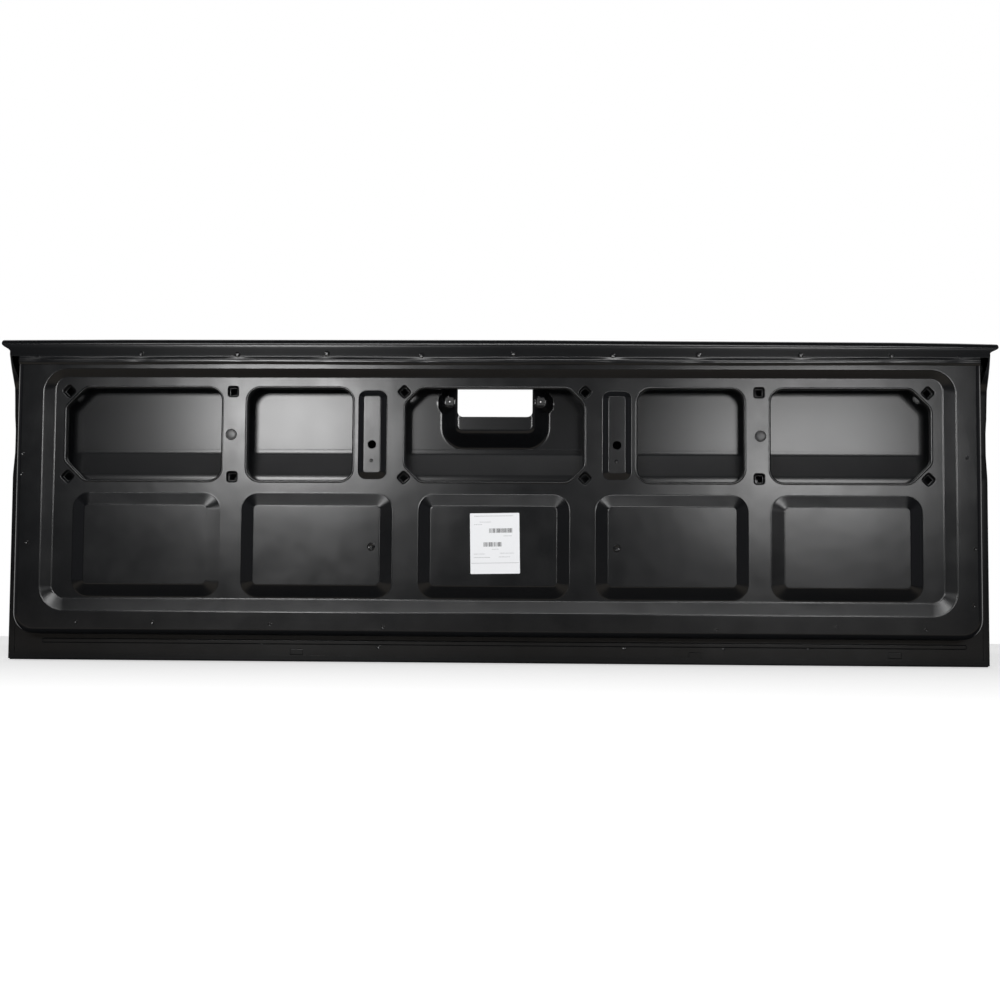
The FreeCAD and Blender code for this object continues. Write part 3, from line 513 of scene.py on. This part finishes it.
skin = {"half": 793, "hem": 2.25, "lapHalf": 773, "lapTop": 492.4, "flatLow": 346, "flatHigh": 507, "middle": 0.75,
        "stations": 170, "webLow": 452, "webHigh": 496, "webFront": (790, 4),
        "edge": [(-50, 793), (380, 793), (398, 794.5), (431, 795.4), (447, 796), (463, 797), (480, 798), (493, 799),
                 (503, 799), (509, 799.8), (513, 801.2), (516, 801.9), (518.5, 801.6), (520, 800.6), (560, 799.8)],
        "lapEdge": [(492.4, 786.5), (500, 787), (503, 788), (507, 795), (510, 799.5), (513, 802), (518, 801.8),
                    (520, 800.6), (560, 799.8)],
        "droop": [(-802, -1), (-600, 0), (60, 0), (323, -1.6), (640, -3.2), (740, -4.6), (802, -6)]}
recess = {"half": 86, "low": 351, "high": 490, "corner": 34, "depth": 28, "slope": 23, "blend": 5, "bossX": 74,
          "bossZ": 424, "bossRadius": 20, "bossDepth": 26, "bossSlope": 10, "screw": 1.1, "windowHalf": 61,
          "windowLow": 399, "windowHigh": 456, "windowCorner": 9, "grid": 2}


def smoothMin(a, b, k):
    mix = max(k - abs(a - b), 0) / k
    return min(a, b) - mix * mix * k / 4


def ramp(inward, slope, depth, blend):
    # Depth of a drawn form at a distance inside its outline, rounded at its foot and at its floor.
    rise = -smoothMin(-inward * depth / slope, 0, blend)
    return smoothMin(rise, depth, blend)


def recessDepth(x, z):
    middleZ = (recess["low"] + recess["high"]) / 2
    sideways = abs(x) - (recess["half"] - recess["corner"])
    upright = abs(z - middleZ) - ((recess["high"] - recess["low"]) / 2 - recess["corner"])
    outside = math.hypot(max(sideways, 0), max(upright, 0)) + min(max(sideways, upright), 0) - recess["corner"]
    dish = ramp(-outside, recess["slope"], recess["depth"], recess["blend"])
    bossInward = recess["bossRadius"] - math.hypot(abs(x) - recess["bossX"], z - recess["bossZ"])
    boss = ramp(bossInward, recess["bossSlope"], recess["bossDepth"], 3)
    return -smoothMin(-dish, -boss, 2)


def read(table, key):
    # A value between the entries of a table.
    for (low, first), (high, second) in zip(table, table[1:]):
        if key <= high:
            return first + (second - first) * max(key - low, 0) / (high - low)
    return table[-1][1]


def skinHalf(y, z):
    if y > 3:
        return read(skin["edge"], z)
    return skin["lapHalf"] if z < skin["lapTop"] else read(skin["lapEdge"], z)


def topPlace(share, y, z):
    # The roll droops a little to the right, and each weld draws in the bead under it.
    x = share * skinHalf(y, z)
    start = 492 + 15 * min(max(y / 50, 0), 1)
    drop = read(skin["droop"], x) * min(max((z - start) / (515 - start), 0), 1)
    if y < -0.85 and z < 492:
        drawn = sum(math.exp(-((x - weld) / 15) ** 2) for weld, _ in welds["lap"])
        proud = 1 - 0.35 * drawn + 0.1 * math.sin(x / 47) + 0.06 * math.sin(x / 19 + 1)
        y = -0.85 + (y + 0.85) * min(proud, 1.05)
        drop = 0.5 * math.sin(x / 83) - 0.5
    return at(x, y, z + drop)


def outerSkin():
    mesh = bmesh.new()
    middle = skin["middle"]
    back = step["high"] + middle
    front = step["low"] + middle
    top = bent([(-0.9, 480.6, 0), (-3.3, 483.4, 4.5), (-3.3, 487.6, 4.5), (-0.85, 492.5, 3), (-5.25, 520.25, 10.2),
                (back, 520.25, 13.2), (back, skin["flatHigh"], 0)], 12)
    stations = [2 * k / skin["stations"] - 1 for k in range(skin["stations"] + 1)]
    strip(mesh, [[topPlace(share, p.x, p.y) for share in stations] for p in divided(top, 4)])
    low = bent([(back, skin["flatLow"], 0), (back, step["head"], step["bend"]), (front, step["foot"], step["footBend"]),
                (front, middle, 1.5), (front - 3, middle, 1.5), (front - 3, 10, 0)], 3)
    strip(mesh, [[at(-skin["half"], p.x, p.y), at(skin["half"], p.x, p.y)] for p in low])

    edge = [(skin["half"], skin["flatLow"])]
    edge += [(half, z) for z, half in skin["edge"] if skin["flatLow"] < z < skin["flatHigh"]]
    edge.append((skinHalf(back, skin["flatHigh"]), skin["flatHigh"]))
    outer = edge + [(-x, z) for x, z in reversed(edge)]
    window = box(-recess["windowHalf"], recess["windowHalf"], recess["windowLow"], recess["windowHigh"],
                 recess["windowCorner"])
    cuts = [ring(window, 0, 8)] + [ring(disc(s * recess["bossX"], recess["bossZ"], recess["screw"]), 0, 5) for s in (-1, 1)]
    grid = recess["grid"]
    loose = []
    for i in range(-52, 53):
        for k in range(75):
            place = Vector((i * grid, 348.5 + k * grid))
            nearWindow = abs(place.x) < recess["windowHalf"] + 1 and 398 < place.y < 457
            nearScrew = math.hypot(abs(place.x) - recess["bossX"], place.y - recess["bossZ"]) < recess["screw"] + 1
            if not nearWindow and not nearScrew:
                loose.append(place)
    plate(mesh, [Vector(p) for p in outer], cuts, lambda x, z: at(x, back - recessDepth(x, z), z), loose)

    # The side hems fold forwards over the panel's flange.
    heights = [510, 506, 503, 500] + [496 - 12 * k for k in range(12)] + [356 - 4 * k for k in range(16)] + [292 - 24 * k for k in range(12)] + [1.5]
    for side in (-1, 1):
        rows = []
        for z in heights:
            depth = skinDepth(z) + middle
            inner = read(skin["edge"], z)
            end = inner + skin["hem"]
            rise = min(max((z - skin["webLow"]) / (skin["webHigh"] - skin["webLow"]), 0), 1)
            frontX = end + (skin["webFront"][0] - end) * rise
            frontY = depth - 3 + (skin["webFront"][1] - depth + 3) * rise
            tuck = skin["half"] + skin["hem"] - 9.5
            fold = bent([(inner, depth, 0), (end, depth, 1.4), (frontX, frontY, 1.2),
                         (tuck + (frontX - 2 - tuck) * rise, frontY, 0)], 200)
            rows.append([at(side * p.x, p.y, z) for p in fold])
        strip(mesh, rows)
    return asSheet("outerSkin", mesh, 1.5, 0, at(300, step["high"], 420), 40)


print("stamping the inner panel")
dress(innerPanel(), coatMaterials["panel_coat"], "panel_coat", ["inner_panel"])
print("rolling the outer skin")
dress(outerSkin(), coatMaterials["skin_coat"], "skin_coat", ["outer_skin"])
for name, node in frame["nodes"].items():
    slots = [part["material_slot"] for part in frame["record"]["subparts"] if part["node"] == name]
    dress(node, coatMaterials[slots[0]])


# Pillar plugs: a round head with a rolled rim and a groove inside it

plug = {"radius": 9.2, "section": [(-9.19, 15, 0), (-2, 15, 0.8), (-2, 10.05, 0), (0, 10.05, 0), (0, 9, 0.8), (-1.1, 9, 0.3),
                                   (-1.5, 9.9, 0.3), (-2.3, 9.9, 0.3), (-2.7, 9.1, 0.3), (-9.19, 9.1, 0)]}


def pillarPlug(name, side):
    mesh = bmesh.new()
    wall(mesh, disc(panel["plugX"] * side, panel["plugZ"], plug["radius"]), bent(plug["section"], 15))
    bmesh.ops.remove_doubles(mesh, verts=mesh.verts, dist=5e-5)
    bmesh.ops.recalc_face_normals(mesh, faces=mesh.faces)
    for face in mesh.faces:
        face.smooth = True
    for edge in mesh.edges:
        edge.smooth = edge.calc_face_angle(0) < math.radians(40)
    return meshObject(name, mesh)


dress(pillarPlug("plugLeft", -1), coatMaterials["plug_plastic"], "plug_plastic", ["pillar_plug_left"])
dress(pillarPlug("plugRight", 1), coatMaterials["plug_plastic"], "plug_plastic", ["pillar_plug_right"])

# Spot welds and locating dimples: one small crater, set on points by nodes

dimples = {"radius": 6.5, "height": 1.1, "pad": [(-196, 186), (197, 186)], "rib": [(-198, 325), (196, 325)]}


def craterTree(name, material):
    # Craters on every vertex: a low outer cone and a sunk inner one, with their sizes as inputs.
    tree = bpy.data.node_groups.new(name, "GeometryNodeTree")
    face = tree.interface
    face.new_socket("Geometry", in_out="INPUT", socket_type="NodeSocketGeometry")
    radius = face.new_socket("Radius", in_out="INPUT", socket_type="NodeSocketFloat")
    height = face.new_socket("Height", in_out="INPUT", socket_type="NodeSocketFloat")
    face.new_socket("Geometry", in_out="OUTPUT", socket_type="NodeSocketGeometry")
    nodes, links = tree.nodes, tree.links
    given = nodes.new("NodeGroupInput")
    result = nodes.new("NodeGroupOutput")

    def times(socket, factor):
        maths = nodes.new("ShaderNodeMath")
        maths.operation = "MULTIPLY"
        maths.inputs[1].default_value = factor
        links.new(socket, maths.inputs[0])
        return maths.outputs[0]

    def cone(bottom, top, tall):
        made = nodes.new("GeometryNodeMeshCone")
        made.fill_type = "NONE"
        made.inputs["Vertices"].default_value = 20
        links.new(times(given.outputs["Radius"], bottom), made.inputs["Radius Bottom"])
        links.new(times(given.outputs["Radius"], top), made.inputs["Radius Top"])
        links.new(times(given.outputs["Height"], tall), made.inputs["Depth"])
        return made.outputs["Mesh"]

    slope = cone(1.0, 0.72, 1.0)
    sink = cone(0.3, 0.72, 0.8)
    raised = nodes.new("GeometryNodeTransform")
    links.new(sink, raised.inputs["Geometry"])
    lift = nodes.new("ShaderNodeCombineXYZ")
    links.new(times(given.outputs["Height"], 0.2), lift.inputs["Z"])
    links.new(lift.outputs[0], raised.inputs["Translation"])
    flat = nodes.new("GeometryNodeMeshCircle")
    flat.fill_type = "NGON"
    flat.inputs["Vertices"].default_value = 20
    links.new(times(given.outputs["Radius"], 0.3), flat.inputs["Radius"])
    base = nodes.new("GeometryNodeTransform")
    links.new(flat.outputs["Mesh"], base.inputs["Geometry"])
    baseLift = nodes.new("ShaderNodeCombineXYZ")
    links.new(times(given.outputs["Height"], 0.2), baseLift.inputs["Z"])
    links.new(baseLift.outputs[0], base.inputs["Translation"])
    joined = nodes.new("GeometryNodeJoinGeometry")
    for part in (slope, raised.outputs["Geometry"], base.outputs["Geometry"]):
        links.new(part, joined.inputs["Geometry"])
    smooth = nodes.new("GeometryNodeSetShadeSmooth")
    links.new(joined.outputs["Geometry"], smooth.inputs["Geometry"])
    spots = nodes.new("GeometryNodeInstanceOnPoints")
    links.new(given.outputs["Geometry"], spots.inputs["Points"])
    links.new(smooth.outputs["Geometry"], spots.inputs["Instance"])
    spots.inputs["Rotation"].default_value = (math.pi / 2, 0, 0)
    real = nodes.new("GeometryNodeRealizeInstances")
    links.new(spots.outputs["Instances"], real.inputs["Geometry"])
    finish = nodes.new("GeometryNodeSetMaterial")
    finish.inputs["Material"].default_value = material
    links.new(real.outputs["Geometry"], finish.inputs["Geometry"])
    links.new(finish.outputs["Geometry"], result.inputs["Geometry"])
    return tree, radius.identifier, height.identifier


def craters(name, places, radius, height, coat):
    mesh = bmesh.new()
    for place in places:
        mesh.verts.new(place)
    piece = meshObject(name, mesh)
    tree, radiusInput, heightInput = craterTree(name + "Tree", coatMaterials[coat])
    nodes = piece.modifiers.new("craters", "NODES")
    nodes.node_group = tree
    nodes[radiusInput] = radius * mm
    nodes[heightInput] = height * mm
    baked(piece)
    return dress(piece, coatMaterials[coat], coat)


print("spot welds")


def lapFront(z):
    return -1.6 - max(z - 492.5, 0) * 0.16


craters("lapWelds", [at(x, lapFront(z), z) for x, z in welds["lap"]], welds["radius"], welds["height"], "skin_coat")
craters("faceWelds", [at(x, 0, z) for x, z in welds["face"]], 3, 0.3, "panel_coat")
craters("flangeWelds", [at(x, 47.5, z) for x, z in welds["flange"]], 4.2, 0.42, "panel_coat")
padFace = panel["fieldDepth"] - panel["padRise"]
ribFace = panel["fieldDepth"] - panel["ribRise"]
craters("padDimples", [at(x, padFace, z) for x, z in dimples["pad"]], dimples["radius"], 1.0, "panel_coat")
craters("ribDimples", [at(x, ribFace, z) for x, z in dimples["rib"]], 3, 0.5, "panel_coat")

# Bottom flange: a long low bead and three small patches

flange = {"depth": 47.5, "beadLeft": -741, "beadRight": 760, "beadLow": 27.5, "beadHigh": 35.5, "beadRise": 0.7,
          "patches": [(-332, -311, 11, 21), (315, 335, 8, 20), (634, 656, 12, 22)], "patchRise": 0.6}


def raisedPlate(name, arcs, rise, slope):
    mesh = bmesh.new()
    foot = flange["depth"]
    wall(mesh, arcs, bent([(0.3, foot + 0.2, 0), (0, foot, 0), (-slope, foot - rise, 0.8),
                           (-slope - 0.8, foot - rise, 0)]), 6)
    plate(mesh, ring(arcs, -slope - 0.8, 6), [], lambda x, z: at(x, foot - rise, z))
    bmesh.ops.remove_doubles(mesh, verts=mesh.verts, dist=1e-6)
    bmesh.ops.recalc_face_normals(mesh, faces=mesh.faces)
    if max(mesh.faces, key=lambda face: face.calc_area()).normal.y > 0:
        bmesh.ops.reverse_faces(mesh, faces=mesh.faces)
    for face in mesh.faces:
        face.smooth = True
    piece = meshObject(name, mesh)
    weigh = piece.modifiers.new("flats", "WEIGHTED_NORMAL")
    weigh.weight = 90
    return dress(baked(piece), coatMaterials["panel_coat"], "panel_coat")


half = (flange["beadHigh"] - flange["beadLow"]) / 2
raisedPlate("flangeBead", box(flange["beadLeft"], flange["beadRight"], flange["beadLow"], flange["beadHigh"], half),
            flange["beadRise"], 1.6)
for number, (left, right, low, high) in enumerate(flange["patches"], start=1):
    raisedPlate("flangePatch%d" % number, box(left, right, low, high, 1.5), flange["patchRise"], 0.8)

# Paper sticker on the middle pad, with plain bars and rules only

sticker = {"x": 2.5, "z": 192.5, "half": 39.5, "tall": 48.5, "corner": 1.5, "turn": 1.0, "thick": 0.25,
           "bars": [(-9, 28, 17, 24, 5), (-18, 11, -5, 2, 9)],
           "lines": [(-33, 30, 43.5, 0.7), (-24, -6, 34, 0.6), (-33, -20, 30, 0.6), (14, 27, 11.5, 0.6),
                     (-5, 6, -9.5, 0.6), (-34, -16, -17, 0.6), (8, 30, -16, 0.6), (-34, -8, -22.5, 0.6),
                     (6, 24, -22, 0.6)],
           "rule": (-38, 38, -31.5, 0.5)}


def onSticker(x, z, lift):
    turn = math.radians(sticker["turn"])
    u = x * math.cos(turn) - z * math.sin(turn)
    v = x * math.sin(turn) + z * math.cos(turn)
    return at(sticker["x"] + u, padFace - sticker["thick"] - lift, sticker["z"] + v)


def paper():
    mesh = bmesh.new()
    arcs = box(-sticker["half"], sticker["half"], -sticker["tall"], sticker["tall"], sticker["corner"])
    edge = ring(arcs, 0, 4)
    plate(mesh, edge, [], lambda x, z: onSticker(x, z, 0))
    strip(mesh, [[onSticker(p.x, p.y, 0) for p in edge], [onSticker(p.x, p.y, -sticker["thick"]) for p in edge]], True)
    bmesh.ops.remove_doubles(mesh, verts=mesh.verts, dist=1e-7)
    bmesh.ops.recalc_face_normals(mesh, faces=mesh.faces)
    if max(mesh.faces, key=lambda face: face.calc_area()).normal.y > 0:
        bmesh.ops.reverse_faces(mesh, faces=mesh.faces)
    return meshObject("stickerPaper", mesh)


def printed(name, marks):
    mesh = bmesh.new()
    for left, right, low, high in marks:
        corners = [(left, low), (right, low), (right, high), (left, high)]
        mesh.faces.new([mesh.verts.new(onSticker(x, z, 0.04)) for x, z in corners])
    bmesh.ops.recalc_face_normals(mesh, faces=mesh.faces)
    for part in mesh.faces:
        if part.normal.y > 0:
            part.normal_flip()
    return meshObject(name, mesh)


print("sticker")
barMarks = []
for left, right, low, high, seed in sticker["bars"]:
    draw = random.Random(seed)
    x = left
    while x < right:
        width = draw.choice((0.35, 0.35, 0.7, 1.0))
        barMarks.append((x, min(x + width, right), low, high))
        x += width + draw.choice((0.35, 0.5, 0.9))
lineMarks = []
for left, right, z, tall in sticker["lines"]:
    draw = random.Random(int(left * 7 + z * 3))
    x = left
    while x < right:
        width = draw.uniform(0.6, 2.0)
        lineMarks.append((x, min(x + width, right), z, z + tall))
        x += width + 0.5
left, right, z, tall = sticker["rule"]
lineMarks.append((left, right, z, z + tall))
labelPaper = paperMaterial()
dress(paper(), labelPaper, "plug_plastic")
dress(printed("stickerBars", barMarks), printMaterial("barInk", (0.02, 0.02, 0.022), (0.05, 0.05, 0.05)), "plug_plastic")
dress(printed("stickerLines", lineMarks), printMaterial("lineInk", (0.2, 0.2, 0.21), (0.3, 0.3, 0.3)), "plug_plastic")

# Studio: pale floor, white surroundings, two soft lamps and a dark card that the gloss sees

# rugGlow and sideGlow are painted light: glows on cloths that only reflections see, in place of a lit floor and lit
# sides.
studio = {"floor": (-5.0, 5.0, -6.0, 1.4), "floorColour": (0.86, 0.86, 0.86), "tent": (4.6, -4.2, 2.6),
          "tentColour": (0.003, 0.003, 0.0034), "rugGlow": (0.32, 0.28, 0.23), "sideGlow": (0.12, 0.12, 0.13), "fill": 0.3,
          "floorLift": 0.38}
lamps = [
    {"name": "leftBox", "place": (-0.75, -2.4, 0.67), "aim": (-0.35, 0, 0.35), "size": (0.5, 0.32), "glow": 27},
    {"name": "rightBox", "place": (0.88, -2.4, 0.58), "aim": (0.45, 0, 0.3), "size": (0.6, 0.4), "glow": 12},
    {"name": "topBox", "place": (0.0, -2.1, 2.14), "aim": (0, 0, 0.25), "size": (2.8, 0.36), "glow": 10},
]


def seenRays(nodes, links):
    # One for what the camera sees straight, in a gloss or through glass.
    path = nodes.new("ShaderNodeLightPath")
    seen = path.outputs["Is Camera Ray"]
    for other in ("Is Glossy Ray", "Is Transmission Ray"):
        either = nodes.new("ShaderNodeMath")
        either.operation = "MAXIMUM"
        links.new(seen, either.inputs[0])
        links.new(path.outputs[other], either.inputs[1])
        seen = either.outputs[0]
    return seen


def flatMaterial(name, colour, scale):
    material, tree, shader = newMaterial(name)
    grain = objectNoise(tree, scale)
    tinted(tree, shader, grain.outputs["Fac"], colour, tuple(min(c * 1.03, 1) for c in colour))
    shader.inputs["Roughness"].default_value = 0.8
    return material


def studioPlane(name, places, material):
    mesh = bmesh.new()
    mesh.faces.new([mesh.verts.new(place) for place in places])
    piece = meshObject(name, mesh)
    piece.data.materials.append(material)
    return piece


def metres(x, y, z):
    return at(x / mm, y / mm, z / mm)


left, right, near, far = studio["floor"]
floorLow = -0.0006
paper = flatMaterial("floorPaper", studio["floorColour"], 3)
tree = paper.node_tree
shader = tree.nodes["Principled BSDF"]
shader.inputs["Emission Color"].default_value = (1, 1, 1, 1)
lift = tree.nodes.new("ShaderNodeMath")
lift.operation = "MULTIPLY"
lift.inputs[1].default_value = studio["floorLift"]
tree.links.new(seenRays(tree.nodes, tree.links), lift.inputs[0])
tree.links.new(lift.outputs[0], shader.inputs["Emission Strength"])
studioPlane("floor", [metres(left, near, floorLow), metres(right, near, floorLow), metres(right, far, floorLow),
                      metres(left, far, floorLow)], paper)

# Black cloth all round keeps the gloss dark; only reflections see it. The rug and the side cloths glow faintly as
# painted light, so the coat reflects a dim brownish floor and grey sides in place of lit ones.
side, front, roof = studio["tent"]
cloth = flatMaterial("tentCloth", studio["tentColour"], 5)
rug = flatMaterial("glowingRugCloth", studio["tentColour"], 5)
glowingSideCloth = flatMaterial("glowingSideCloth", studio["tentColour"], 5)
for material, glow in ((rug, studio["rugGlow"]), (glowingSideCloth, studio["sideGlow"])):
    shader = material.node_tree.nodes["Principled BSDF"]
    shader.inputs["Emission Color"].default_value = (*glow, 1)
    shader.inputs["Emission Strength"].default_value = 1
clothOf = {"tentRug": rug, "tentLeft": glowingSideCloth, "tentRight": glowingSideCloth}
low = 0.0002
tent = {
    "tentFloor": [(-side, front, low), (side, front, low), (side, 0.07, low), (-side, 0.07, low)],
    "tentRug": [(-1.3, -0.75, 2 * low), (1.3, -0.75, 2 * low), (1.3, -0.14, 2 * low), (-1.3, -0.14, 2 * low)],
    "tentFront": [(-side, front, low), (side, front, low), (side, front, roof), (-side, front, roof)],
    "tentRoof": [(-side, front, roof), (side, front, roof), (side, 1.2, roof), (-side, 1.2, roof)],
    "tentLeft": [(-side, front, low), (-side, 1.2, low), (-side, 1.2, roof), (-side, front, roof)],
    "tentRight": [(side, front, low), (side, 1.2, low), (side, 1.2, roof), (side, front, roof)],
}
for name, corners in tent.items():
    sheet = studioPlane(name, [metres(*corner) for corner in corners], clothOf.get(name, cloth))
    sheet.visible_camera = False
    sheet.visible_diffuse = False
    sheet.visible_transmission = False
    sheet.visible_shadow = False

for lamp in lamps:
    data = bpy.data.lights.new(lamp["name"], "AREA")
    data.shape = "RECTANGLE"
    data.size, data.size_y = lamp["size"]
    data.energy = lamp["glow"] * math.pi * data.size * data.size_y
    made = bpy.data.objects.new(lamp["name"], data)
    made.location = metres(*lamp["place"])
    made.rotation_euler = (metres(*lamp["aim"]) - made.location).to_track_quat("-Z", "Y").to_euler()
    bpy.context.scene.collection.objects.link(made)


def whiteWorld():
    world = bpy.data.worlds.new("whiteSurroundings")
    bpy.context.scene.world = world
    world.use_nodes = True
    nodes, links = world.node_tree.nodes, world.node_tree.links
    nodes.clear()
    fill = nodes.new("ShaderNodeBackground")
    fill.inputs["Strength"].default_value = studio["fill"]
    white = nodes.new("ShaderNodeBackground")
    white.inputs["Strength"].default_value = 1
    mix = nodes.new("ShaderNodeMixShader")
    links.new(seenRays(nodes, links), mix.inputs["Fac"])
    links.new(fill.outputs[0], mix.inputs[1])
    links.new(white.outputs[0], mix.inputs[2])
    for background in (fill, white):
        background.inputs["Color"].default_value = (1, 1, 1, 1)
    output = nodes.new("ShaderNodeOutputWorld")
    links.new(mix.outputs[0], output.inputs["Surface"])


whiteWorld()

# Camera as in the photo: low in front, turned a little to the left and up

view = {"place": (96.2, -2486.7, 108.9), "yaw": -1.981, "pitch": 3.521, "roll": 0.397, "focal": 1558.2, "frame": 1000}
yaw = math.radians(view["yaw"])
pitch = math.radians(view["pitch"])
roll = math.radians(view["roll"])
forward = Vector((math.sin(yaw) * math.cos(pitch), math.cos(yaw) * math.cos(pitch), math.sin(pitch)))
sideways = Vector((math.cos(yaw), -math.sin(yaw), 0))
upward = sideways.cross(forward)
right = sideways * math.cos(roll) + upward * math.sin(roll)
up = upward * math.cos(roll) - sideways * math.sin(roll)
camera = bpy.data.objects.new("camera", bpy.data.cameras.new("camera"))
camera.data.sensor_width = 36
camera.data.lens = 36 * view["focal"] / view["frame"]
camera.matrix_world = Matrix([[right.x, up.x, -forward.x, 0], [right.y, up.y, -forward.y, 0],
                              [right.z, up.z, -forward.z, 0], [0, 0, 0, 1]])
camera.location = at(*view["place"])
bpy.context.scene.collection.objects.link(camera)
bpy.context.scene.camera = camera
bpy.context.scene.view_settings.view_transform = "Standard"


bpy.context.view_layer.update()
print("done")
